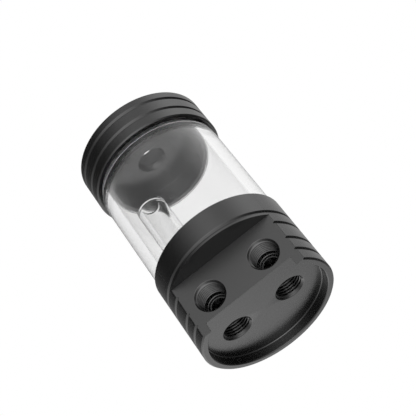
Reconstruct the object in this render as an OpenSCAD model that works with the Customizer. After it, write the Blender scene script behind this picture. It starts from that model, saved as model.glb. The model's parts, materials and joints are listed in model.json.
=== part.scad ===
// Tube reservoir for a liquid cooling loop: a ported base, a clear tube, a screw-on top cap
// and an inner standpipe over one pair of ports. Millimetres, +Z up, origin at the centre of
// the base rim, the ported flat facing -Y.

/* [Overall] */
// Outer diameter of the base and of the top cap
body_d = 63; // [63:0.5:72]
// Height of the base, rim to top edge
base_h = 39.8; // [38:0.1:50]
// Length of tube in view between the base and the cap
tube_view = 52.2; // [52:0.1:200]
// Height of the top cap, rim to top face
cap_h = 18.6; // [17:0.1:30]

/* [Tube] */
// Outer diameter of the tube
tube_d = 60; // [59:0.1:60.4]
// Wall of the tube
tube_wall = 5; // [4.6:0.1:5.4]
// Chamfer round the ends of the tube
tube_edge = 0.4; // [0.1:0.1:0.6]

/* [Screw joints of the tube] */
// Pitch of the screw threads that hold the tube
screw_pitch = 1.5; // [1:0.25:2]
// Depth that the tube is turned down for its thread
screw_step = 1.9; // [1.5:0.1:2.2]
// Depth of one thread, which is the room between the two plain walls
screw_depth = 0.9; // [0.5:0.05:1]
// Length of tube that screws into the base
base_screw_l = 8.5; // [6:0.1:9]
// Length of tube that screws into the cap
cap_screw_l = 5.2; // [4:0.1:5.6]
// Gap between a tube end and the shoulder it screws down to
end_gap = 0.3; // [0.1:0.05:0.5]
// Gap between the tube's shoulder and the rim that covers it
rim_gap = 0.1; // [0.05:0.05:0.2]

/* [Edges and grooves] */
// Chamfer round the bottom rim of the base
rim_chamfer = 0.9; // [0.2:0.1:1.2]
// Chamfer round the top edges of the base and the cap
top_chamfer = 0.5; // [0.2:0.1:1]
// Chamfer round the lower edge of the cap
cap_chamfer = 0.3; // [0.1:0.1:0.6]
// Width of the decorative grooves
groove_w = 1.05; // [0.6:0.05:1.4]
// Depth of the decorative grooves
groove_deep = 1; // [0.4:0.1:1.2]
// Height of the first groove above the base rim
groove_1 = 5.7; // [5:0.1:7]
// Height of the second groove above the base rim
groove_2 = 12.3; // [9:0.1:15]
// Height of the third groove above the base rim
groove_3 = 21.4; // [18:0.1:24]
// Height of the groove above the shelf of the flat
shelf_groove = 1.8; // [1.4:0.1:2.2]
// Distance of the upper cap groove below the top face
cap_groove_1 = 4.8; // [3:0.1:6]
// Distance of the lower cap groove below the top face
cap_groove_2 = 11.8; // [9:0.1:12]

/* [Flat and recess] */
// Distance of the ported flat from the axis
flat_y = 19.2; // [18.5:0.1:21]
// Height of the shelf that ends the flat
shelf_z = 26.3; // [25:0.1:27]
// Depth of the round recess in the underside
recess_deep = 4.4; // [4.3:0.1:5]
// Width of the rim round the recess
rim_w = 3; // [2:0.1:4]
// Chamfer inside the mouth of the recess
recess_chamfer = 0.35; // [0.1:0.05:0.5]

/* [Ports] */
// Radius of a port's wall, at the crests of a G1/4 male thread
port_r = 6.6; // [6:0.05:6.8]
// Radius of the chamfered mouth of a port
port_mouth_r = 6.95; // [6.9:0.05:7.4]
// Threaded depth of the ports
port_deep = 11; // [9:0.1:11.2]
// Distance of each port from the middle plane
port_x = 13.4; // [12:0.1:14]
// Height of the side ports above the base rim
side_port_z = 13.2; // [12.6:0.1:15]
// Radius of the drilled passages above the bottom ports
passage_r = 4.25; // [3:0.05:4.5]
// Radius of the cross passages behind the side ports
cross_r = 3.4; // [2.5:0.05:3.8]

/* [Standpipe] */
// Outer radius of the standpipe
pipe_r = 7; // [6.9:0.05:7.3]
// Radius of the standpipe's bore
pipe_bore_r = 4.25; // [3:0.05:4.6]
// Length of the standpipe above the chamber floor
pipe_l = 47.8; // [15:0.1:50]
// Length of the standpipe's threaded foot in the socket
foot_l = 6.8; // [5:0.1:7.2]
// Depth of the standpipe's thread
foot_thread = 0.85; // [0.4:0.05:0.9]
// Rounding of the standpipe's top edges
pipe_edge = 0.4; // [0.1:0.1:0.6]

/* [Cap plug] */
// Running gap between the cap's plug and the tube
plug_gap = 0.1; // [0.05:0.01:0.15]
// Wall of the plug
plug_wall = 2.5; // [2.4:0.1:3]
// How far the plug reaches below the rim of the cap
plug_drop = 1.9; // [1:0.1:3]
// Thickness of the cap over the cup
crown = 11.1; // [10:0.1:11.4]
// Height of the seal groove above the end of the plug
seal_up = 2.2; // [1.6:0.1:3]
// Width and depth of the two turned lines inside the cup
line_w = 0.5; // [0.2:0.05:0.6]
// Distance between the two turned lines
line_step = 1.2; // [1:0.1:1.5]

/* [Seals] */
// Cord diameter of the two tube seals
cord = 1.6; // [1.2:0.05:1.7]
// Cord diameter of the standpipe seal
pipe_cord = 1.4; // [1:0.05:1.5]
// Gap round a seal in its groove
seal_gap = 0.05; // [0.02:0.01:0.1]
// Extra width of the seal grooves
groove_play = 0.4; // [0.2:0.1:0.6]

/* [Hidden] */
$fn = 96;
eps = 0.01;
body_r = body_d / 2;
tube_r = tube_d / 2;
tube_bore_r = tube_r - tube_wall;
screw_r = tube_r - screw_step;
skirt_bore_r = screw_r + screw_depth;
tube_z = base_h - base_screw_l;
floor_z = tube_z - end_gap;
cap_z = base_h + tube_view;
total_h = cap_z + cap_h;
tube_top = cap_z + cap_screw_l;
seat_z = tube_top + end_gap;
plug_r = tube_bore_r - plug_gap;
cup_r = plug_r - plug_wall;
cup_z = total_h - crown;
plug_z = cap_z - plug_drop;
seal_groove_r = tube_bore_r - cord - 2 * seal_gap;
seal_w = cord + groove_play;
end_seal_r = (tube_bore_r + screw_r) / 2;
recess_r = body_r - rim_w;
counter_r = port_r + pipe_cord + 2 * seal_gap;
counter_z = floor_z - pipe_cord - 2 * seal_gap;
socket_z = counter_z - foot_l - end_gap;
foot_r = port_r - foot_thread;
port_floor = recess_deep + port_deep;
grooves = [groove_1, groove_2, groove_3, shelf_z + shelf_groove];
cap_grooves = [total_h - cap_groove_1, total_h - cap_groove_2];

BLACK = [0.09, 0.09, 0.095];
CLEAR = [0.86, 0.9, 0.92, 0.45];
RUBBER = [0.16, 0.16, 0.17];

// A half section with its two outer corners cut at 45 degrees
module bar_profile(r, low, high, low_cut, high_cut) {
    polygon([[0, low], [r - low_cut, low], [r, low + low_cut],
             [r, high - high_cut], [r - high_cut, high], [0, high]]);
}

// Narrow rectangles that cut the decorative grooves
module groove_profile(heights) {
    for (h = heights)
        translate([body_r - groove_deep, h - groove_w / 2]) square([groove_deep + 1, groove_w]);
}

// A threaded hole that opens at the origin and runs down: chamfered mouth and plain wall
module port_hole(deep) {
    cone = port_mouth_r - port_r;
    rotate_extrude()
        polygon([[0, 1], [port_mouth_r + eps, 1], [port_mouth_r + eps, eps], [port_r, -cone],
                 [port_r, -deep], [0, -deep]]);
}

// An O-ring round the Z axis
module o_ring(ring_r, cord_d, z) {
    translate([0, 0, z]) rotate_extrude() translate([ring_r, 0]) circle(d = cord_d, $fn = 48);
}

// The turned body of the base, before the flat and the ports are cut
module base_blank() {
    rotate_extrude() difference() {
        bar_profile(body_r, 0, base_h, rim_chamfer, top_chamfer);
        groove_profile(grooves);
        translate([0, floor_z]) square([skirt_bore_r, base_h]);
        polygon([[0, -1], [recess_r + recess_chamfer + eps, -1], [recess_r + recess_chamfer, 0],
                 [recess_r, recess_chamfer], [recess_r, recess_deep], [0, recess_deep]]);
    }
}

module port_block() {
    color(BLACK) difference() {
        base_blank();
        translate([-body_r - 1, -body_r - 1, -1]) cube([body_d + 2, body_r + 1 - flat_y, shelf_z + 1]);
        for (side = [-1, 1]) {
            translate([side * port_x, 0, recess_deep]) rotate([180, 0, 0]) port_hole(port_deep);
            translate([side * port_x, -flat_y, side_port_z]) rotate([90, 0, 0]) port_hole(port_deep);
            translate([side * port_x, 0, port_floor - eps])
                cylinder(r = passage_r, h = floor_z - port_floor + 1);
            translate([side * port_x, -flat_y + port_deep - eps, side_port_z])
                rotate([-90, 0, 0]) cylinder(r = cross_r, h = flat_y - port_deep);
        }
        translate([-port_x, 0, counter_z]) cylinder(r = counter_r, h = floor_z);
        translate([-port_x, 0, socket_z]) cylinder(r = port_r, h = floor_z);
    }
}

module tube() {
    color(CLEAR) rotate_extrude() difference() {
        union() {
            translate([tube_bore_r, base_h + rim_gap])
                square([tube_wall, tube_view - 2 * rim_gap]);
            polygon([[tube_bore_r, tube_z], [screw_r - tube_edge, tube_z], [screw_r, tube_z + tube_edge],
                     [screw_r, tube_top - tube_edge], [screw_r - tube_edge, tube_top],
                     [tube_bore_r, tube_top]]);
        }
        translate([end_seal_r - seal_w / 2, floor_z]) square([seal_w, cord + 2 * seal_gap]);
    }
}

module tube_seal() {
    color(RUBBER) o_ring(end_seal_r, cord, floor_z + seal_gap + cord / 2);
}

module cap_seal() {
    color(RUBBER) o_ring(tube_bore_r - seal_gap - cord / 2, cord, plug_z + seal_up + seal_w / 2);
}

module top_cap() {
    color(BLACK) difference() {
        rotate_extrude() difference() {
            union() {
                difference() {
                    bar_profile(body_r, cap_z, total_h, cap_chamfer, top_chamfer);
                    translate([0, cap_z - 1]) square([skirt_bore_r, seat_z - cap_z + 1]);
                }
                bar_profile(plug_r, plug_z, seat_z + eps, tube_edge, 0);
            }
            groove_profile(cap_grooves);
            translate([0, plug_z - 1]) square([cup_r, cup_z - plug_z + 1]);
            translate([seal_groove_r, plug_z + seal_up]) square([tube_bore_r - seal_groove_r, seal_w]);
            for (i = [0, 1])
                translate([cup_r - eps, plug_z + line_w + i * line_step]) square([line_w, line_w]);
        }
        translate([0, 0, total_h]) port_hole(crown + 1);
        translate([0, 0, cup_z]) rotate([180, 0, 0]) port_hole(1);
    }
}

module standpipe() {
    top = floor_z + pipe_l;
    foot_z = socket_z + end_gap;
    color(CLEAR) translate([-port_x, 0, 0]) rotate_extrude() difference() {
        union() {
            bar_profile(pipe_r, floor_z, top, 0, pipe_edge);
            bar_profile(foot_r, foot_z, floor_z + eps, tube_edge, 0);
        }
        translate([0, foot_z - 1]) square([pipe_bore_r, top - foot_z + 2]);
    }
}

module standpipe_seal() {
    color(RUBBER) translate([-port_x, 0, 0])
        o_ring(port_r + seal_gap + pipe_cord / 2, pipe_cord, floor_z - seal_gap - pipe_cord / 2);
}

port_block();
tube();
tube_seal();
top_cap();
cap_seal();
standpipe();
standpipe_seal();
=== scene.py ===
"""Tube reservoir for a liquid cooling loop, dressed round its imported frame.

The base and the cap are turned and drilled from black anodised aluminium, the tube and the standpipe are
polished clear acrylic, and three rubber rings seal them. Sizes are given in millimetres and turned into
metres where a mesh is written. The ported flat faces -Y and the tube stands along +Z.
"""
import json
import logging
import math
from dataclasses import dataclass, field
from enum import Enum

import bmesh
import bpy
import numpy as np
from mathutils import Matrix, Vector


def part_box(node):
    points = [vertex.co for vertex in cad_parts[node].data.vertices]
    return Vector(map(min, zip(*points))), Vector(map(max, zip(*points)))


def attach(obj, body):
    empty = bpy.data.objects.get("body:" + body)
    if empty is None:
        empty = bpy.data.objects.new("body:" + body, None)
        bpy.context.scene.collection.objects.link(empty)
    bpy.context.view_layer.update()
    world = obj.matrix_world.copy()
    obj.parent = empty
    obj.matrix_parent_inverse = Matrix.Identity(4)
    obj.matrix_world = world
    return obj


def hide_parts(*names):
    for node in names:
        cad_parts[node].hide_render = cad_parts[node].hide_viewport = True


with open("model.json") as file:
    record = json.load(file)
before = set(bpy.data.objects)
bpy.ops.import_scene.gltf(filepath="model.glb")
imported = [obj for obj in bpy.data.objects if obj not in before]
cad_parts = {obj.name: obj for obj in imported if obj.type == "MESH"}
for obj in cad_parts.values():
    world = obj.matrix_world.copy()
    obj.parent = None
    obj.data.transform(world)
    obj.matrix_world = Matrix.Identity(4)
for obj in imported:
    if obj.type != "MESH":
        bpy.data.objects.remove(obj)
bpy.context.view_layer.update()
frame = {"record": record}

log = logging.getLogger("reservoir")
MM = 0.001
ARC_STEP = math.radians(22.5)
GUARD = 0.03
ROWS_PER_PITCH = 14
TUBE_PITCH = 1.5
PORT_PITCH = 1.337


class Slot(Enum):
    """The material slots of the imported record."""

    BASE = "anodised_base"
    CAP = "anodised_cap"
    TUBE = "clear_tube"
    PIPE = "clear_pipe"
    SEAL = "seal_rubber"


class Lay(Enum):
    """The way that the tool marks of a machined face run."""

    TURNED = "turned"
    MILLED = "milled"


# ---------------------------------------------------------------------------------------------
# Turned outlines: rows of radius, height and thread depth, carried round an axis
# ---------------------------------------------------------------------------------------------


@dataclass(frozen=True)
class Corner:
    """A corner of a turned outline, in mm.

    Attributes:
        r: Distance from the axis.
        z: Height.
        fillet: Radius that rounds the corner.
        thread: Depth of the screw thread cut on the run that leaves this corner, 0 for a plain run.
    """

    r: float
    z: float
    fillet: float = 0.0
    thread: float = 0.0


def unit(vector: np.ndarray) -> np.ndarray:
    """The vector at length 1."""
    return vector / max(float(np.linalg.norm(vector)), 1e-12)


def rounded_corner(before: np.ndarray, at: np.ndarray, after: np.ndarray, fillet: float) -> np.ndarray:
    """Points of the arc that rounds one corner.

    The arc touches both runs at fillet / tan(half the inner angle) from the corner, and its centre lies on
    the bisector at fillet / sin(half the inner angle).

    Args:
        before: The corner before this one.
        at: The corner itself.
        after: The corner after this one.
        fillet: Radius of the arc; 0 gives the corner alone.

    Returns:
        An array of points, one row each.
    """
    back, on = unit(before - at), unit(after - at)
    half = math.acos(float(np.clip(back @ on, -1, 1))) / 2
    if fillet <= 0 or half > math.radians(89.5):
        return at[None, :]
    start = at + back * fillet / math.tan(half)
    end = at + on * fillet / math.tan(half)
    centre = at + unit(back + on) * fillet / math.sin(half)
    turn = math.pi - 2 * half
    share = np.linspace(0, 1, max(2, math.ceil(turn / ARC_STEP)) + 1)[:, None]
    arc = (np.sin((1 - share) * turn) * (start - centre) + np.sin(share * turn) * (end - centre))
    return centre + arc / math.sin(turn)


def run_rows(start: np.ndarray, end: np.ndarray, thread: float, pitch: float) -> np.ndarray:
    """Rows between two arcs of an outline.

    A plain run keeps one guard row near each end, so that the shading of an arc stays off the flat. A
    threaded run has rows all along it, and its thread fades in and out over three fifths of a turn.

    Args:
        start: Last point of the arc before.
        end: First point of the arc after.
        thread: Depth of the thread, negative where it stands inwards.
        pitch: Pitch of the thread.

    Returns:
        Rows of radius, height and thread depth, without the two ends.
    """
    length = float(np.linalg.norm(end - start))
    if thread == 0:
        share = np.array([GUARD, length - GUARD]) / length if length > 4 * GUARD else np.zeros(0)
        depth = np.zeros_like(share)
    else:
        share = np.linspace(0, 1, math.ceil(length / pitch * ROWS_PER_PITCH) + 1)[1:-1]
        near_end = np.minimum(share, 1 - share) * length / (0.6 * pitch)
        depth = thread * smooth(near_end)
    points = start + share[:, None] * (end - start)
    return np.column_stack([points, depth])


def smooth(x: np.ndarray) -> np.ndarray:
    """0 below 0, 1 above 1, and 3x^2 - 2x^3 between them."""
    x = np.clip(x, 0, 1)
    return x * x * (3 - 2 * x)


def tooth(phase: np.ndarray) -> np.ndarray:
    """Height of a thread form, 0 at the root and 1 at the crest, once for each whole step of the phase."""
    return np.clip(0.5 + 0.78 * np.cos(2 * np.pi * phase), 0, 1)


def outline_rows(corners: list[Corner], closed: bool, pitch: float = TUBE_PITCH) -> np.ndarray:
    """The rows of a turned outline with its corners rounded and its threads in place.

    Args:
        corners: The corners in order.
        closed: True for a ring, whose last corner runs on to the first; False for a solid that starts and
            ends on its axis.
        pitch: Pitch of its threads.

    Returns:
        Rows of radius, height and thread depth.
    """
    points = np.array([[c.r, c.z] for c in corners], float)
    count = len(corners)
    arcs = []
    for i, corner in enumerate(corners):
        inner = closed or 0 < i < count - 1
        around = points[i - 1], points[i], points[(i + 1) % count]
        arcs.append(rounded_corner(*around, corner.fillet) if inner else points[i][None, :])
    rows = []
    for i, corner in enumerate(corners):
        rows.append(np.column_stack([arcs[i], np.zeros(len(arcs[i]))]))
        if closed or i < count - 1:
            rows.append(run_rows(arcs[i][-1], arcs[(i + 1) % count][0], corner.thread, pitch))
    return np.concatenate(rows)


def lathe_grid(rows: np.ndarray, segments: int, pitch: float = TUBE_PITCH) -> np.ndarray:
    """The outline carried round its axis.

    Radius = row radius + row thread depth x tooth(height / pitch - turn), which winds right-handed.

    Args:
        rows: Rows of radius, height and thread depth.
        segments: Steps of one whole turn.
        pitch: Pitch of the threads.

    Returns:
        An array of segments x rows x 3 coordinates.
    """
    turn = np.arange(segments)[:, None] / segments
    radius = rows[:, 0] + rows[:, 2] * tooth(rows[:, 1] / pitch - turn)
    height = np.broadcast_to(rows[:, 1], radius.shape)
    return np.stack([radius * np.cos(2 * np.pi * turn), radius * np.sin(2 * np.pi * turn), height], axis=2)


def grid_object(name: str, grid: np.ndarray, closed_rows: bool, place: Matrix = Matrix.Identity(4)) -> bpy.types.Object:
    """A mesh object from a grid that closes round its first direction.

    Args:
        name: Name of the object.
        grid: Columns x rows x 3 coordinates, in mm.
        closed_rows: True if the last row joins the first, False if both end on the axis.
        place: Where the grid goes, in mm.

    Returns:
        The object, at the origin, its faces pointing outwards.
    """
    columns, rows = grid.shape[:2]
    i = np.arange(columns)[:, None]
    j = np.arange(rows if closed_rows else rows - 1)[None, :]
    along, across = (i + 1) % columns, (j + 1) % rows
    quads = np.stack([i * rows + j, along * rows + j, along * rows + across, i * rows + across], axis=2)
    mesh = bpy.data.meshes.new(name)
    mesh.from_pydata(grid.reshape(-1, 3), [], quads.reshape(-1, 4))
    mesh.transform(place)
    mesh.transform(Matrix.Scale(MM, 4))
    made = bmesh.new()
    made.from_mesh(mesh)
    bmesh.ops.remove_doubles(made, verts=made.verts, dist=1e-4 * MM)
    bmesh.ops.recalc_face_normals(made, faces=made.faces)
    made.to_mesh(mesh)
    made.free()
    piece = bpy.data.objects.new(name, mesh)
    bpy.context.scene.collection.objects.link(piece)
    return piece


def turned(
    name: str,
    corners: list[Corner],
    closed: bool = True,
    segments: int = 192,
    pitch: float = TUBE_PITCH,
    place: Matrix = Matrix.Identity(4),
) -> bpy.types.Object:
    """A turned piece, from its outline.

    Args:
        name: Name of the object.
        corners: Corners of the outline, in mm.
        closed: True for a ring, False for a solid on its axis.
        segments: Steps of one whole turn.
        pitch: Pitch of its threads, in mm.
        place: Where it goes, in mm.

    Returns:
        The object.
    """
    grid = lathe_grid(outline_rows(corners, closed, pitch), segments, pitch)
    return grid_object(name, grid, closed, place)


def cut(piece: bpy.types.Object, cutters: list[bpy.types.Object]) -> None:
    """Takes the cutters out of the piece, one after another, and deletes them.

    Args:
        piece: The solid that is cut.
        cutters: Closed solids that overlap it.
    """
    for cutter in cutters:
        step = piece.modifiers.new("cut", "BOOLEAN")
        step.operation = "DIFFERENCE"
        step.solver = "MANIFOLD"
        step.object = cutter
    done = bpy.data.meshes.new_from_object(piece.evaluated_get(bpy.context.evaluated_depsgraph_get()))
    piece.modifiers.clear()
    old, piece.data = piece.data, done
    bpy.data.meshes.remove(old)
    for cutter in cutters:
        bpy.data.meshes.remove(cutter.data)


def box_solid(name: str, low: Vector, high: Vector) -> bpy.types.Object:
    """A closed box between two corners, in mm, for cutting with."""
    mesh = bpy.data.meshes.new(name)
    made = bmesh.new()
    middle = Matrix.Translation((low + high) / 2 * MM)
    bmesh.ops.create_cube(made, size=1.0, matrix=middle @ Matrix.Diagonal((*((high - low) * MM), 1)))
    made.to_mesh(mesh)
    made.free()
    solid = bpy.data.objects.new(name, mesh)
    bpy.context.scene.collection.objects.link(solid)
    return solid


def bar_cutter(name: str, start: Vector, end: Vector, out: Vector, deep: float) -> bpy.types.Object:
    """A square bar along an edge, for breaking it.

    Args:
        name: Name of the cutter.
        start: One end of the edge, in mm.
        end: The other end.
        out: Unit direction halfway between the edge's two faces, away from the solid.
        deep: How far the bar's inner face stands behind the edge, divided by the root of 2.

    Returns:
        The cutter.
    """
    thick = 1.0
    along = (end - start).normalized()
    turn = Matrix((along, out, along.cross(out))).transposed().to_4x4()
    middle = (start + end) / 2 + out * (thick / 2 - deep / math.sqrt(2))
    bar = box_solid(name, Vector((-(end - start).length / 2, -thick / 2, -thick / 2)), Vector(((end - start).length / 2, thick / 2, thick / 2)))
    bar.data.transform(Matrix.Translation(middle * MM) @ turn)
    return bar


def shade(piece: bpy.types.Object, sharp_angle: float = math.radians(32)) -> None:
    """Smooth shading by face area, but for edges that turn by more than the given angle."""
    mesh = piece.data
    mesh.polygons.foreach_set("use_smooth", np.ones(len(mesh.polygons), bool))
    mesh.set_sharp_from_angle(angle=sharp_angle)
    weighted = piece.modifiers.new("face_weight", "WEIGHTED_NORMAL")
    weighted.keep_sharp = True


def fit(piece: bpy.types.Object, node: str, body: str, finish: bpy.types.Material) -> None:
    """Gives a finished piece its material and its body, and hides the CAD node that it stands for.

    Args:
        piece: The piece, in place.
        node: The CAD node that it replaces.
        body: The body that it moves with.
        finish: Its material.
    """
    piece.data.materials.clear()
    piece.data.materials.append(finish)
    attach(piece, body)
    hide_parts(node)
    log.info("%s stands for %s on %s: %d faces", piece.name, node, body, len(piece.data.polygons))


# ---------------------------------------------------------------------------------------------
# Finishes
# ---------------------------------------------------------------------------------------------


class Graph:
    """Builds the nodes of a material or of a shader group."""

    def __init__(self, tree: bpy.types.NodeTree) -> None:
        """Starts on an empty tree."""
        self.tree = tree
        tree.nodes.clear()

    def node(self, kind: str, **settings: object) -> bpy.types.Node:
        """A new node of a kind, with its settings."""
        made = self.tree.nodes.new(kind)
        for name, value in settings.items():
            setattr(made, name, value)
        return made

    def feed(self, source: object, target: bpy.types.NodeSocket) -> None:
        """Links a socket to the target, or sets the target's own value."""
        if isinstance(source, bpy.types.NodeSocket):
            self.tree.links.new(source, target)
        else:
            target.default_value = source

    def math(self, operation: str, *values: object, clamp: bool = False) -> bpy.types.NodeSocket:
        """The result of one sum on numbers or sockets."""
        made = self.node("ShaderNodeMath", operation=operation, use_clamp=clamp)
        for value, socket in zip(values, made.inputs):
            self.feed(value, socket)
        return made.outputs[0]

    def vector(self, operation: str, *values: object) -> bpy.types.Node:
        """One sum on vectors; its result is on the first output, or on Value where it is a number."""
        made = self.node("ShaderNodeVectorMath", operation=operation)
        for value, socket in zip(values, made.inputs):
            self.feed(value, socket)
        return made

    def spread(self, value: object, low: float, high: float, to_low: float, to_high: float) -> bpy.types.NodeSocket:
        """The value's stretch from low to high, eased and carried over to another stretch."""
        made = self.node("ShaderNodeMapRange", interpolation_type="SMOOTHSTEP")
        for name, number in zip(("Value", "From Min", "From Max", "To Min", "To Max"), (value, low, high, to_low, to_high)):
            self.feed(number, made.inputs[name])
        return made.outputs["Result"]

    def position(self) -> dict[str, bpy.types.NodeSocket]:
        """The object's own x, y and z in mm, and the distance r from the Z axis."""
        place = self.node("ShaderNodeTexCoord").outputs["Object"]
        scaled = self.node("ShaderNodeVectorMath", operation="SCALE")
        self.feed(place, scaled.inputs[0])
        self.feed(1 / MM, scaled.inputs["Scale"])
        parts = self.node("ShaderNodeSeparateXYZ")
        self.feed(scaled.outputs[0], parts.inputs[0])
        x, y, z = parts.outputs
        radius = self.math("SQRT", self.math("ADD", self.math("MULTIPLY", x, x), self.math("MULTIPLY", y, y)))
        return {"vector": scaled.outputs[0], "x": x, "y": y, "z": z, "r": radius}


def new_group(name: str, inputs: dict[str, float], outputs: list[str], kind: str = "NodeSocketFloat") -> tuple[Graph, dict, dict]:
    """A shader group with named number sockets.

    Args:
        name: Name of the group.
        inputs: Its input sockets and their usual values.
        outputs: Its output sockets.
        kind: Type of the output sockets.

    Returns:
        The graph, the sockets that carry the inputs, and the sockets that take the outputs.
    """
    tree = bpy.data.node_groups.new(name, "ShaderNodeTree")
    graph = Graph(tree)
    for label, usual in inputs.items():
        tree.interface.new_socket(label, in_out="INPUT", socket_type="NodeSocketFloat").default_value = usual
    for label in outputs:
        tree.interface.new_socket(label, in_out="OUTPUT", socket_type=kind)
    into = graph.node("NodeGroupInput")
    out = graph.node("NodeGroupOutput")
    return graph, {s.name: s for s in into.outputs if s.name}, {s.name: s for s in out.inputs if s.name}


def tool_marks_group() -> bpy.types.NodeTree:
    """Turned lines, the same all round the axis: noise along radius plus height, with slow patches of tone put out
    beside them.

    On a face square to the axis the height is constant and the lines are rings; on a wall the radius is
    constant and they are hoops. Nothing is turned on the flat, or in what is bored within a radius above a height.
    """
    graph, given, out = new_group("tool_marks", {"Lines per mm": 4.0, "Flat at y": -19.2, "Cored to r": 0.0, "Cored above z": 0.0}, ["Height", "Tone", "Turned", "Milled"])
    at = graph.position()
    along = graph.math("ADD", at["r"], at["z"])
    fine = graph.node("ShaderNodeTexNoise", noise_dimensions="1D")
    graph.feed(graph.math("MULTIPLY", along, given["Lines per mm"]), fine.inputs["W"])
    graph.feed(1.0, fine.inputs["Scale"])
    graph.feed(3.0, fine.inputs["Detail"])
    graph.feed(0.6, fine.inputs["Roughness"])
    off_plane = graph.math("ABSOLUTE", graph.math("SUBTRACT", at["y"], given["Flat at y"]))
    on_flat = graph.spread(off_plane, 0.02, 0.12, 0.0, 1.0)
    inside = graph.math("MULTIPLY", graph.math("LESS_THAN", at["r"], given["Cored to r"]), graph.math("GREATER_THAN", at["z"], given["Cored above z"]))
    turned_here = graph.math("MULTIPLY", on_flat, graph.math("SUBTRACT", 1.0, inside))
    lines = graph.math("SUBTRACT", fine.outputs[0], 0.5)
    graph.feed(graph.math("MULTIPLY", lines, turned_here), out["Height"])
    patches = graph.node("ShaderNodeTexNoise")
    graph.feed(at["vector"], patches.inputs["Vector"])
    graph.feed(0.09, patches.inputs["Scale"])
    graph.feed(2.0, patches.inputs["Detail"])
    graph.feed(patches.outputs[0], out["Tone"])
    graph.feed(turned_here, out["Turned"])
    graph.feed(graph.math("SUBTRACT", 1.0, on_flat), out["Milled"])
    return graph.tree


def turned_normal_group() -> bpy.types.NodeTree:
    """The tilt of hair-fine turned lines, too fine to be seen one by one.

    With T the unit vector round the axis and N the face's normal, N x T points across the lines. The normal is
    tilted that way by noise along radius plus height, so that light spreads across the lines and not along them.
    """
    graph, given, out = new_group("turned_normal", {"Lines per mm": 70.0, "Tilt": 0.2}, ["Normal"], "NodeSocketVector")
    at = graph.position()
    round_axis = graph.node("ShaderNodeCombineXYZ")
    graph.feed(graph.math("MULTIPLY", at["y"], -1.0), round_axis.inputs[0])
    graph.feed(at["x"], round_axis.inputs[1])
    to_world = graph.node("ShaderNodeVectorTransform", vector_type="VECTOR", convert_from="OBJECT", convert_to="WORLD")
    graph.feed(round_axis.outputs[0], to_world.inputs[0])
    unit_round = graph.vector("NORMALIZE", to_world.outputs[0]).outputs[0]
    normal = graph.node("ShaderNodeNewGeometry").outputs["Normal"]
    across = graph.vector("CROSS_PRODUCT", normal, unit_round).outputs[0]
    noise = graph.node("ShaderNodeTexNoise", noise_dimensions="1D")
    graph.feed(graph.math("MULTIPLY", graph.math("ADD", at["r"], at["z"]), given["Lines per mm"]), noise.inputs["W"])
    graph.feed(1.0, noise.inputs["Scale"])
    graph.feed(0.0, noise.inputs["Detail"])
    tilt = graph.math("MULTIPLY", graph.math("SUBTRACT", noise.outputs[0], 0.5), given["Tilt"])
    tilted = graph.node("ShaderNodeVectorMath", operation="SCALE")
    graph.feed(across, tilted.inputs[0])
    graph.feed(tilt, tilted.inputs["Scale"])
    graph.feed(graph.vector("NORMALIZE", graph.vector("ADD", normal, tilted.outputs[0]).outputs[0]).outputs[0], out["Normal"])
    return graph.tree


def grain_group() -> bpy.types.NodeTree:
    """The fine bead of an etched and dyed surface: two sizes of noise on the object's own coordinates."""
    graph, given, out = new_group("etched_grain", {"Grains per mm": 6.0}, ["Grain"])
    at = graph.position()
    noise = graph.node("ShaderNodeTexNoise")
    graph.feed(at["vector"], noise.inputs["Vector"])
    graph.feed(given["Grains per mm"], noise.inputs["Scale"])
    graph.feed(2.0, noise.inputs["Detail"])
    graph.feed(noise.outputs[0], out["Grain"])
    return graph.tree


def new_material(name: str) -> tuple[bpy.types.Material, Graph, bpy.types.Node]:
    """A material with one Principled shader on its output."""
    material = bpy.data.materials.new(name)
    material.use_nodes = True
    graph = Graph(material.node_tree)
    shader = graph.node("ShaderNodeBsdfPrincipled")
    graph.feed(shader.outputs[0], graph.node("ShaderNodeOutputMaterial").inputs["Surface"])
    return material, graph, shader


def grey(value: float) -> tuple[float, float, float, float]:
    """A neutral colour."""
    return (value, value, value, 1.0)


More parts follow.
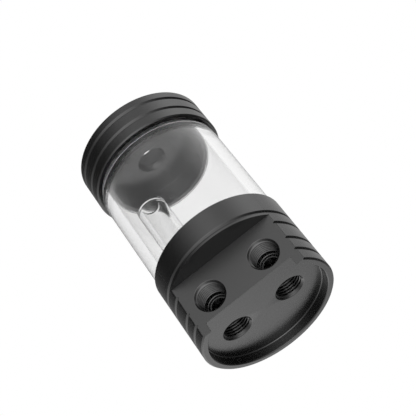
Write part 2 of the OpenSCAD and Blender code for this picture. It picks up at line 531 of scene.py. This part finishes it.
@dataclass(frozen=True)
class AnodisedFinish:
    """Black dyed anodising on turned aluminium.

    Attributes:
        name: Name of the material.
        dark: The dye's own grey.
        gloss_ior: Refractive index of the sealed oxide.
        roughness: Middle roughness.
        lines_per_mm: Turned lines.
        line_height: Height of the turned lines, in mm.
        grain_height: Height of the etched grain, in mm.
        tilt: Slope of the hair-fine turned lines.
        milled: Roughness of the milled flat.
        flat_y: Where the milled flat is, in mm; far off where there is none.
        cored: Radius and height, in mm, within and above which it is bored.
    """

    name: str
    dark: float = 0.004
    gloss_ior: float = 1.75
    roughness: float = 0.24
    lines_per_mm: float = 3.0
    line_height: float = 0.003
    grain_height: float = 0.0002
    tilt: float = 0.25
    milled: float = 0.46
    flat_y: float = 1000.0
    cored: tuple[float, float] = (0.0, 0.0)

    def material(self) -> bpy.types.Material:
        """The finished material."""
        material, graph, shader = new_material(self.name)
        marks = graph.node("ShaderNodeGroup", node_tree=bpy.data.node_groups["tool_marks"])
        marks.inputs["Lines per mm"].default_value = self.lines_per_mm
        grain = graph.node("ShaderNodeGroup", node_tree=bpy.data.node_groups["etched_grain"])
        ramp = graph.node("ShaderNodeMix", data_type="RGBA")
        graph.feed(marks.outputs["Tone"], ramp.inputs["Factor"])
        graph.feed(grey(self.dark * 0.7), ramp.inputs[6])
        graph.feed(grey(self.dark * 1.3), ramp.inputs[7])
        graph.feed(ramp.outputs[2], shader.inputs["Base Color"])
        marks.inputs["Flat at y"].default_value = self.flat_y
        marks.inputs["Cored to r"].default_value, marks.inputs["Cored above z"].default_value = self.cored
        middle = graph.math("MULTIPLY_ADD", marks.outputs["Milled"], self.milled - self.roughness, self.roughness)
        rough = graph.math("MULTIPLY_ADD", grain.outputs["Grain"], 0.06, graph.math("SUBTRACT", middle, 0.03))
        graph.feed(rough, shader.inputs["Roughness"])
        height = graph.math(
            "ADD",
            graph.math("MULTIPLY", marks.outputs["Height"], self.line_height),
            graph.math("MULTIPLY", grain.outputs["Grain"], self.grain_height),
        )
        bump = graph.node("ShaderNodeBump")
        graph.feed(height, bump.inputs["Height"])
        graph.feed(MM, bump.inputs["Distance"])
        graph.feed(1.0, bump.inputs["Strength"])
        hair = graph.node("ShaderNodeGroup", node_tree=bpy.data.node_groups["turned_normal"])
        graph.feed(graph.math("MULTIPLY", marks.outputs["Turned"], self.tilt), hair.inputs["Tilt"])
        graph.feed(hair.outputs["Normal"], bump.inputs["Normal"])
        graph.feed(bump.outputs[0], shader.inputs["Normal"])
        shader.inputs["IOR"].default_value = self.gloss_ior
        return material


@dataclass(frozen=True)
class AcrylicFinish:
    """Cast acrylic, polished clear.

    Attributes:
        name: Name of the material.
        tint: What is left of each colour after one wall.
        roughness: Roughness of the polish.
        ior: Refractive index.
        mirror: Share of the plain reflection, as 0.5 for all of it.
        sawn: Roughness of the machined ends.
        polished: Heights, in mm, between which it is polished.
    """

    name: str
    tint: tuple[float, float, float, float] = (0.945, 0.945, 0.945, 1.0)
    roughness: float = 0.002
    ior: float = 1.49
    mirror: float = 0.12
    sawn: float = 0.5
    polished: tuple[float, float] = (-1.0, 1000.0)

    def material(self) -> bpy.types.Material:
        """The finished material."""
        material, graph, shader = new_material(self.name)
        grain = graph.node("ShaderNodeGroup", node_tree=bpy.data.node_groups["etched_grain"])
        grain.inputs["Grains per mm"].default_value = 0.35
        height = graph.position()["z"]
        low, high = self.polished
        sawn = graph.math("ADD", graph.math("LESS_THAN", height, low), graph.math("GREATER_THAN", height, high))
        rough = graph.math("MULTIPLY_ADD", sawn, self.sawn, self.roughness)
        graph.feed(graph.math("MULTIPLY", graph.math("ADD", grain.outputs["Grain"], 0.5), rough), shader.inputs["Roughness"])
        shader.inputs["Base Color"].default_value = self.tint
        shader.inputs["Transmission Weight"].default_value = 1.0
        shader.inputs["IOR"].default_value = self.ior
        shader.inputs["Specular IOR Level"].default_value = self.mirror
        return material


@dataclass(frozen=True)
class RubberFinish:
    """Moulded black nitrile rubber.

    Attributes:
        name: Name of the material.
        dark: Its grey.
        roughness: Middle roughness.
    """

    name: str
    dark: float = 0.012
    roughness: float = 0.55

    def material(self) -> bpy.types.Material:
        """The finished material."""
        material, graph, shader = new_material(self.name)
        grain = graph.node("ShaderNodeGroup", node_tree=bpy.data.node_groups["etched_grain"])
        graph.feed(graph.math("MULTIPLY_ADD", grain.outputs["Grain"], 0.2, self.roughness - 0.1), shader.inputs["Roughness"])
        tone = graph.node("ShaderNodeMix", data_type="RGBA")
        graph.feed(grain.outputs["Grain"], tone.inputs["Factor"])
        graph.feed(grey(self.dark * 0.8), tone.inputs[6])
        graph.feed(grey(self.dark * 1.2), tone.inputs[7])
        graph.feed(tone.outputs[2], shader.inputs["Base Color"])
        return material


# ---------------------------------------------------------------------------------------------
# The pieces
# ---------------------------------------------------------------------------------------------


def low_high(node: str) -> tuple[Vector, Vector]:
    """The lowest and highest corners of a CAD node, in mm."""
    low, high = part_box(node)
    return low / MM, high / MM


def mount(name: str) -> dict:
    """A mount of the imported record."""
    return next(m for m in frame["record"]["mounts"] if m["name"] == name)


@dataclass(frozen=True)
class ScrewFit:
    """One screw joint: the male core, the thread depth and the room between the two walls, in mm."""

    core_r: float
    depth: float
    room: float = 0.08

    def socket_r(self) -> float:
        """Radius of the plain wall that the female thread is cut in."""
        return self.core_r + self.depth + self.room


TUBE_SCREW = ScrewFit(core_r=28.1, depth=0.82)
FOOT_SCREW = ScrewFit(core_r=5.75, depth=0.77)


@dataclass
class Port:
    """A G1/4 threaded port, cut by a male form: countersunk mouth, thread, plain bottom.

    Attributes:
        wall_r: Radius at the roots of its thread.
        mouth_r: Radius of its countersunk mouth.
        deep: Depth of the hole.
        thread: Depth of the thread.
        over: How far the cutter stands out of the mouth.
        edge: Radius that breaks the edge of the mouth.
        plain: Length without thread at the bottom.
        ring_deep: Depth of the rings that the drill leaves on the bottom.
        ring_step: Distance between them.
    """

    wall_r: float = 6.6
    mouth_r: float = 6.95
    deep: float = 11.0
    thread: float = 0.86
    over: float = 1.0
    edge: float = 0.1
    plain: float = 0.3
    ring_deep: float = 0.22
    ring_step: float = 0.95

    def threaded_wall(self, depth: np.ndarray, turn: np.ndarray) -> np.ndarray:
        """Radius of the hole's wall at each depth and turn.

        It is the larger of the countersink, mouth_r - depth, and the thread, wall_r - thread x wave, with a
        wave of (1 - cos(2 pi (depth / pitch + turn))) / 2 that runs out before the plain bottom.
        """
        run_out = smooth((self.deep - self.plain - depth) / (0.6 * PORT_PITCH))
        wave = 0.5 - 0.5 * np.cos(2 * np.pi * (depth / PORT_PITCH + turn))
        thread = self.wall_r - self.thread * run_out * wave
        return np.maximum(self.mouth_r - depth, thread)

    def cutter(self, name: str, place: Matrix) -> bpy.types.Object:
        """The solid that cuts the port, its mouth at the origin of place and its hole along local -Z."""
        steps = math.ceil((self.deep - self.edge) / PORT_PITCH * ROWS_PER_PITCH)
        depth = np.linspace(self.edge, self.deep, steps)[None, :]
        turn = np.arange(96)[:, None] / 96
        wall = self.threaded_wall(depth, turn)
        lip = np.array([[0, self.over], [self.mouth_r + self.edge, self.over], [self.mouth_r + self.edge, 0.01]])
        foot = np.linspace(self.wall_r - self.thread, 0, 40)
        foot_height = -self.deep - self.ring_deep * tooth(foot / self.ring_step)
        radius = np.hstack([np.broadcast_to(lip[:, 0], (96, 3)), wall, np.broadcast_to(foot, (96, 40))])
        height = np.broadcast_to(np.concatenate([lip[:, 1], -depth[0], foot_height]), radius.shape)
        grid = np.stack([radius * np.cos(2 * np.pi * turn), radius * np.sin(2 * np.pi * turn), height], axis=2)
        return grid_object(name, grid, False, place)


@dataclass
class PortBlock:
    """The base: a turned block with a ported flat, a round recess in its underside and a threaded skirt.

    All sizes are in mm and its rim stands at height 0.
    """

    rim_chamfer: float = 0.65
    top_chamfer: float = 0.3
    groove_w: float = 1.7
    groove_deep: float = 0.7
    grooves: tuple[float, ...] = (6.0, 12.55, 21.55, 28.2)
    flat_y: float = 19.2
    shelf_z: float = 26.3
    recess_r: float = 28.4
    recess_deep: float = 4.4
    recess_chamfer: float = 0.35
    recess_round: float = 0.5
    floor_z: float = 31.0
    passage_r: float = 4.25
    cross_r: float = 3.4
    counter_r: float = 8.1
    counter_z: float = 29.5
    socket_z: float = 22.4
    broken_edge: float = 0.12
    flat_edge: float = 0.22
    port: Port = field(default_factory=Port)

    def outline(self) -> list[Corner]:
        """Corners of the turned blank, from the middle of the recess outwards, up the side and down the skirt."""
        low, high = low_high("port_block")
        body_r, top = high.x, high.z
        e = self.broken_edge
        corners = [
            Corner(0, self.recess_deep),
            Corner(self.recess_r, self.recess_deep, self.recess_round),
            Corner(self.recess_r, self.recess_chamfer, e),
            Corner(self.recess_r + self.recess_chamfer, 0, e),
            Corner(body_r - self.rim_chamfer, 0, e),
            Corner(body_r, self.rim_chamfer, e),
        ]
        for height in self.grooves:
            corners += groove_corners(body_r, height, self.groove_w, self.groove_deep, e)
        corners += [
            Corner(body_r, top - self.top_chamfer, e),
            Corner(body_r - self.top_chamfer, top, e),
            Corner(TUBE_SCREW.socket_r() + 0.1, top, e),
            Corner(TUBE_SCREW.socket_r(), top - 0.1, 0.0, -TUBE_SCREW.depth),
            Corner(TUBE_SCREW.socket_r(), self.floor_z + 0.3, 0.0),
            Corner(TUBE_SCREW.socket_r(), self.floor_z, 0.1),
            Corner(0, self.floor_z),
        ]
        return corners

    def cutters(self) -> list[bpy.types.Object]:
        """The flat, the four ports, the passages between them and the standpipe's socket."""
        _, high = low_high("port_block")
        out = high.x + 1
        made = [box_solid("flat_cut", Vector((-out, -out, -1)), Vector((out, -self.flat_y, self.shelf_z)))]
        made += self.edge_cutters(high.x)
        port_bottom = self.recess_deep + self.port.deep
        for name in ("left", "right"):
            x, _, _ = (v / MM for v in mount(f"bottom_port_{name}")["pos_m"])
            _, _, side_z = (v / MM for v in mount(f"side_port_{name}")["pos_m"])
            under = Matrix.Translation((x, 0, self.recess_deep)) @ Matrix.Rotation(math.pi, 4, "X")
            side = Matrix.Translation((x, -self.flat_y, side_z)) @ Matrix.Rotation(math.pi / 2, 4, "X")
            made.append(self.port.cutter(f"under_{name}", under))
            made.append(self.port.cutter(f"side_{name}", side))
            made.append(bore(f"rise_{name}", self.passage_r, port_bottom - 0.5, self.floor_z + 1, Matrix.Translation((x, 0, 0))))
            into = Matrix.Translation((x, 0, side_z)) @ Matrix.Rotation(math.pi / 2, 4, "X")
            made.append(bore(f"cross_{name}", self.cross_r, 0.2, self.flat_y - self.port.deep + 0.5, into))
        pipe_low, pipe_high = low_high("standpipe")
        at = Matrix.Translation(((pipe_low.x + pipe_high.x) / 2, 0, 0))
        made.append(bore("counterbore", self.counter_r, self.counter_z, self.floor_z + 1, at))
        socket = [
            Corner(0, self.socket_z),
            Corner(FOOT_SCREW.socket_r(), self.socket_z),
            Corner(FOOT_SCREW.socket_r(), self.socket_z + 0.3, 0.0, -FOOT_SCREW.depth),
            Corner(FOOT_SCREW.socket_r(), self.counter_z + 0.5),
            Corner(0, self.counter_z + 0.5),
        ]
        made.append(turned("socket_cut", socket, closed=False, segments=96, pitch=PORT_PITCH, place=at))
        return made

    def edge_cutters(self, body_r: float) -> list[bpy.types.Object]:
        """Bars that break the long edges of the flat: its two sides, its foot and round the mouth of the recess.

        A circle of radius r leaves the flat at x = sqrt(r^2 - y^2), and the two faces there meet under a right
        angle plus asin(y / r), so the bar's face is set square to the line halfway between them.
        """
        y, top, floor = -self.flat_y, self.shelf_z, self.recess_deep
        made = []
        for side in (-1, 1):
            for name, r, low, high, way in (("side", body_r, -1.0, top, 1), ("tab", self.recess_r, -1.0, floor, -1)):
                x = math.sqrt(r * r - y * y)
                wall = Vector((x * side, y, 0)) / r * way
                out = (wall + Vector((0, -1, 0))).normalized()
                made.append(bar_cutter(f"{name}_edge_{side}", Vector((x * side, y, low)), Vector((x * side, y, high)), out, self.flat_edge))
        x = math.sqrt(self.recess_r**2 - y * y) - 0.1
        out = Vector((0, -1, -1)).normalized()
        made.append(bar_cutter("floor_edge", Vector((-x, y, floor)), Vector((x, y, floor)), out, self.flat_edge))
        made.append(bar_cutter("foot_edge", Vector((-body_r, y, 0)), Vector((body_r, y, 0)), out, self.flat_edge))
        return made

    def build(self, finish: bpy.types.Material) -> bpy.types.Object:
        """Turns the blank, cuts it and fits it over the CAD base."""
        piece = turned("base_block", self.outline(), closed=False)
        cut(piece, self.cutters())
        shade(piece)
        fit(piece, "port_block", "base", finish)
        return piece


def groove_corners(body_r: float, height: float, width: float, deep: float, edge: float) -> list[Corner]:
    """The four corners of a groove turned in a wall, going up: two flanks at 45 degrees and a narrow bottom."""
    low, high = height - width / 2, height + width / 2
    return [
        Corner(body_r, low, edge),
        Corner(body_r - deep, low + deep, 0.05),
        Corner(body_r - deep, high - deep, 0.05),
        Corner(body_r, high, edge),
    ]


def bore(name: str, radius: float, low: float, high: float, place: Matrix) -> bpy.types.Object:
    """A plain round cutter between two heights of its own axis."""
    corners = [Corner(0, low), Corner(radius, low), Corner(radius, high), Corner(0, high)]
    return turned(name, corners, closed=False, segments=96, place=place)


@dataclass
class ClearTube:
    """The acrylic tube: turned down and threaded at both ends, with a seal groove in its lower end."""

    wall: float = 5.0
    edge: float = 0.4
    base_screw_l: float = 8.5
    cap_screw_l: float = 5.2
    rim_gap: float = 0.1
    neck_gap: float = 0.4
    seal_r: float = 26.55
    seal_groove_w: float = 2.0
    seal_groove_deep: float = 1.4

    def outline(self) -> list[Corner]:
        """Corners of the closed outline, up the bore and down the outside."""
        low, high = low_high("tube")
        outer, bore_r = high.x, high.x - self.wall
        core = TUBE_SCREW.core_r
        shoulder_low, shoulder_high = low.z + self.base_screw_l + self.rim_gap, high.z - self.cap_screw_l - self.neck_gap
        near, far = self.seal_r - self.seal_groove_w / 2, self.seal_r + self.seal_groove_w / 2
        return [
            Corner(bore_r, low.z, 0.15),
            Corner(bore_r, high.z, 0.15),
            Corner(core - self.edge, high.z, 0.08),
            Corner(core, high.z - self.edge, 0.08, TUBE_SCREW.depth),
            Corner(core, shoulder_high, 0.1),
            Corner(outer - self.edge, shoulder_high, 0.15),
            Corner(outer, shoulder_high - self.edge, 0.15),
            Corner(outer, shoulder_low, 0.15),
            Corner(core, shoulder_low, 0.1, TUBE_SCREW.depth),
            Corner(core, low.z + self.edge, 0.08),
            Corner(core - self.edge, low.z, 0.08),
            Corner(far, low.z, 0.08),
            Corner(far, low.z + self.seal_groove_deep, 0.1),
            Corner(near, low.z + self.seal_groove_deep, 0.1),
            Corner(near, low.z, 0.08),
        ]

    def build(self, finish: bpy.types.Material) -> bpy.types.Object:
        """Turns the tube and fits it over the CAD tube."""
        piece = turned("clear_tube", self.outline(), segments=256)
        shade(piece)
        fit(piece, "tube", "tube_turn", finish)
        return piece


@dataclass
class TopCap:
    """The cap: grooved side, threaded fill port, threaded skirt over the tube and a hollow plug inside it."""

    top_chamfer: float = 0.3
    low_chamfer: float = 0.55
    groove_w: float = 1.7
    groove_deep: float = 0.7
    grooves_below_top: tuple[float, ...] = (4.55, 11.25)
    plug_drop: float = 3.5
    plug_r: float = 24.9
    cup_r: float = 22.4
    crown: float = 11.1
    skirt_deep: float = 3.9
    seal_up: float = 2.2
    seal_groove_r: float = 23.3
    seal_w: float = 2.0
    line_w: float = 0.45
    line_step: float = 1.3
    line_count: int = 5
    broken_edge: float = 0.1
    port: Port = field(default_factory=Port)

    def outline(self) -> list[Corner]:
        """Corners of the closed outline: up the port, out over the top, down the side, skirt, plug and cup."""
        low, high = low_high("top_cap")
        body_r, top = high.x, high.z
        rim = low.z + self.plug_drop
        cup_z, seat = top - self.crown, rim + self.skirt_deep
        port, e = self.port, self.broken_edge
        crest_r = port.wall_r - port.thread
        lead = port.mouth_r - crest_r
        groove_low = low.z + self.seal_up
        corners = [
            Corner(port.mouth_r, cup_z, 0.08),
            Corner(crest_r, cup_z + lead, 0.03),
            Corner(crest_r, cup_z + lead + 0.05, 0.0, port.thread),
            Corner(crest_r, top - lead - 0.05, 0.0),
            Corner(crest_r, top - lead, 0.03),
            Corner(port.mouth_r, top, 0.08),
            Corner(body_r - self.top_chamfer, top, e),
            Corner(body_r, top - self.top_chamfer, e),
        ]
        for drop in self.grooves_below_top:
            corners += groove_corners(body_r, top - drop, self.groove_w, self.groove_deep, e)[::-1]
        corners += [
            Corner(body_r, rim + self.low_chamfer, e),
            Corner(body_r - self.low_chamfer, rim, e),
            Corner(TUBE_SCREW.socket_r() + 0.1, rim, e),
            Corner(TUBE_SCREW.socket_r(), rim + 0.1, 0.0, -TUBE_SCREW.depth),
            Corner(TUBE_SCREW.socket_r(), seat - 0.3, 0.0),
            Corner(TUBE_SCREW.socket_r(), seat, 0.1),
            Corner(self.plug_r, seat, 0.1),
            Corner(self.plug_r, groove_low + self.seal_w, e),
            Corner(self.seal_groove_r, groove_low + self.seal_w, 0.05),
            Corner(self.seal_groove_r, groove_low, 0.05),
            Corner(self.plug_r, groove_low, e),
            Corner(self.plug_r, low.z + 0.4, e),
            Corner(self.plug_r - 0.4, low.z, e),
            Corner(self.cup_r, low.z, e),
        ]
        for i in range(self.line_count):
            foot = low.z + self.line_w + i * self.line_step
            corners += [
                Corner(self.cup_r, foot, 0.05),
                Corner(self.cup_r + self.line_w, foot, 0.05),
                Corner(self.cup_r + self.line_w, foot + self.line_w, 0.05),
                Corner(self.cup_r, foot + self.line_w, 0.05),
            ]
        corners.append(Corner(self.cup_r, cup_z, 0.2))
        return corners

    def build(self, finish: bpy.types.Material) -> bpy.types.Object:
        """Turns the cap and fits it over the CAD cap."""
        piece = turned("screw_cap", self.outline())
        shade(piece)
        fit(piece, "top_cap", "cap_turn", finish)
        return piece


@dataclass
class Standpipe:
    """The inner pipe: a clear tube with rounded top and a threaded foot."""

    wall: float = 2.75
    foot_l: float = 6.8
    top_round: float = 0.7
    foot_edge: float = 0.4
    floor_z: float = 31.0

    def outline(self) -> list[Corner]:
        """Corners of the closed outline, up the bore and down the outside."""
        low, high = low_high("standpipe")
        outer = (high.x - low.x) / 2
        inner = outer - self.wall
        foot_top = self.floor_z
        core = FOOT_SCREW.core_r
        return [
            Corner(inner, low.z, 0.15),
            Corner(inner, high.z, self.top_round),
            Corner(outer, high.z, self.top_round),
            Corner(outer, foot_top, 0.1),
            Corner(core, foot_top, 0.1, FOOT_SCREW.depth),
            Corner(core, low.z + self.foot_edge, 0.1),
            Corner(core - self.foot_edge, low.z, 0.1),
        ]

    def build(self, finish: bpy.types.Material) -> bpy.types.Object:
        """Turns the pipe and fits it over the CAD standpipe."""
        low, high = low_high("standpipe")
        at = Matrix.Translation(((low.x + high.x) / 2, 0, 0))
        piece = turned("clear_standpipe", self.outline(), segments=128, pitch=PORT_PITCH, place=at)
        shade(piece)
        fit(piece, "standpipe", "pipe_turn", finish)
        return piece


@dataclass
class SealRing:
    """A rubber ring of round cord with a fine mould line round its inside and outside."""

    name: str
    node: str
    body: str
    flash: float = 0.02

    def grid(self) -> tuple[np.ndarray, Matrix]:
        """Cord radius = half the cord + flash x a narrow hump at the two mould lines, carried round the ring."""
        low, high = low_high(self.node)
        cord_r = (high.z - low.z) / 2
        ring_r = (high.x - low.x) / 2 - cord_r
        around = np.linspace(0, 2 * np.pi, 48, endpoint=False)
        hump = np.cos(around) ** 40
        cord = cord_r - self.flash * (1 - hump)
        rows = np.column_stack([ring_r + cord * np.cos(around), cord * np.sin(around), np.zeros_like(around)])
        middle = (low + high) / 2
        return lathe_grid(rows, 192), Matrix.Translation(middle)

    def build(self, finish: bpy.types.Material) -> bpy.types.Object:
        """Moulds the ring and fits it over the CAD ring."""
        grid, place = self.grid()
        piece = grid_object(self.name, grid, True, place)
        shade(piece, math.pi)
        fit(piece, self.node, self.body, finish)
        return piece


# ---------------------------------------------------------------------------------------------
# Studio
# ---------------------------------------------------------------------------------------------


@dataclass(frozen=True)
class Lobe:
    """A soft light far off, as reflections show it.

    Attributes:
        azimuth: Its direction, from +X towards +Y, in degrees.
        elevation: Its direction above the horizon, in degrees.
        strength: Its brightness at the middle.
        width: Angle at which it has fallen to 0.6, in degrees.
    """

    azimuth: float
    elevation: float
    strength: float
    width: float

    def direction(self) -> Vector:
        """Unit vector towards it."""
        a, e = math.radians(self.azimuth), math.radians(self.elevation)
        return Vector((math.cos(a) * math.cos(e), math.sin(a) * math.cos(e), math.sin(e)))


@dataclass
class Studio:
    """A white studio: soft lights all round, a pale floor and the camera under the base.

    Places and sizes are in mm, angles in degrees.
    """

    camera_at: tuple[float, float, float] = (13.5, -383.3, -209.1)
    aim: tuple[float, float, float] = (6.9, -2.5, 59.0)
    roll: float = -37.6
    lens: float = 93.0
    light: float = 1.0
    dim: float = 0.03
    floor_r: float = 900.0
    lobes: tuple[Lobe, ...] = (
        Lobe(-88, -6, 3.0, 24),
        Lobe(-12, 38, 1.3, 20),
        Lobe(50, 33, 0.6, 24),
        Lobe(-75, 32, 0.3, 14),
        Lobe(125, -28, 1.7, 26),
        Lobe(-90, -60, 1.1, 22),
    )

    def camera(self) -> None:
        """Places the camera and aims it."""
        data = bpy.data.cameras.new("camera")
        data.lens = self.lens
        data.sensor_width = 36.0
        data.clip_start, data.clip_end = 0.01, 20.0
        eye, aim = Vector(self.camera_at) * MM, Vector(self.aim) * MM
        turn = (aim - eye).to_track_quat("-Z", "Y").to_matrix().to_4x4()
        camera = bpy.data.objects.new("camera", data)
        camera.matrix_world = Matrix.Translation(eye) @ turn @ Matrix.Rotation(math.radians(self.roll), 4, "Z")
        bpy.context.scene.collection.objects.link(camera)
        bpy.context.scene.camera = camera

    def world(self) -> None:
        """White behind everything, and soft lights all round for what the pieces reflect.

        A light's brightness falls off as exp((cos(angle from it) - 1) / width^2), and what is seen straight or
        through the acrylic alone has the plain white.
        """
        world = bpy.data.worlds.new("white_studio")
        world.use_nodes = True
        world.cycles.sampling_method = "NONE"
        graph = Graph(world.node_tree)
        direction = graph.node("ShaderNodeTexCoord").outputs["Generated"]
        glow: object = self.dim
        for lobe in self.lobes:
            nearness = graph.vector("DOT_PRODUCT", direction, lobe.direction()).outputs["Value"]
            fall = math.radians(lobe.width) ** -2
            soft = graph.math("EXPONENT", graph.math("MULTIPLY_ADD", nearness, fall, -fall))
            glow = graph.math("MULTIPLY_ADD", soft, lobe.strength, glow)
        path = graph.node("ShaderNodeLightPath")
        bounced = graph.math("ADD", path.outputs["Glossy Depth"], path.outputs["Diffuse Depth"], clamp=True)
        walls = path.outputs["Transmission Depth"]
        for faces in (2, 6):
            in_wall = graph.math("COMPARE", walls, float(faces), 1.5)
            bounced = graph.math("MULTIPLY", bounced, graph.math("SUBTRACT", 1.0, in_wall))
        level = graph.math("MULTIPLY_ADD", bounced, graph.math("SUBTRACT", glow, self.light), self.light)
        background = graph.node("ShaderNodeBackground")
        background.inputs["Color"].default_value = grey(1.0)
        graph.feed(level, background.inputs["Strength"])
        graph.feed(background.outputs[0], graph.node("ShaderNodeOutputWorld").inputs["Surface"])
        scene = bpy.context.scene
        scene.world = world
        scene.view_settings.view_transform = "Standard"

    def floor(self) -> None:
        """A pale floor under the rim, seen from above alone, so that the camera under it looks through."""
        material = bpy.data.materials.new("pale_floor")
        material.use_nodes = True
        graph = Graph(material.node_tree)
        paint = graph.node("ShaderNodeBsdfDiffuse")
        paint.inputs["Color"].default_value = grey(0.93)
        mix = graph.node("ShaderNodeMixShader")
        graph.feed(graph.node("ShaderNodeNewGeometry").outputs["Backfacing"], mix.inputs[0])
        graph.feed(paint.outputs[0], mix.inputs[1])
        graph.feed(graph.node("ShaderNodeBsdfTransparent").outputs[0], mix.inputs[2])
        graph.feed(mix.outputs[0], graph.node("ShaderNodeOutputMaterial").inputs["Surface"])
        mesh = bpy.data.meshes.new("pale_floor")
        turn = np.linspace(0, 2 * np.pi, 96, endpoint=False)
        ring = np.column_stack([np.cos(turn), np.sin(turn), np.zeros(96)]) * self.floor_r * MM
        ring[:, 2] = -0.3 * MM
        mesh.from_pydata(ring, [], [list(range(96))])
        mesh.materials.append(material)
        floor = bpy.data.objects.new("pale_floor", mesh)
        bpy.context.scene.collection.objects.link(floor)
        floor.visible_glossy = False
        floor.visible_diffuse = False
        floor.visible_shadow = False
        floor.visible_transmission = False

    def build(self) -> None:
        """Sets the whole studio up."""
        self.camera()
        self.world()
        self.floor()


def main() -> None:
    """Builds the finishes, the studio and every piece, in order."""
    logging.basicConfig(level=logging.INFO, format="%(message)s")
    Studio().build()
    tool_marks_group()
    turned_normal_group()
    grain_group()
    anodised = AnodisedFinish("black_anodised_base", flat_y=-19.2, cored=(28.2, 4.6)).material()
    anodised_cap = AnodisedFinish("black_anodised_cap").material()
    acrylic = AcrylicFinish("clear_acrylic_tube", polished=(40.0, 91.2)).material()
    acrylic_pipe = AcrylicFinish("clear_acrylic_pipe").material()
    rubber = RubberFinish("black_rubber").material()
    PortBlock().build(anodised)
    ClearTube().build(acrylic)
    TopCap().build(anodised_cap)
    Standpipe().build(acrylic_pipe)
    SealRing("tube_ring", "tube_seal", "tube_rise").build(rubber)
    SealRing("cap_ring", "cap_seal", "cap_rise").build(rubber)
    SealRing("standpipe_ring", "standpipe_seal", "pipe_rise").build(rubber)


if __name__ == "__main__":
    main()
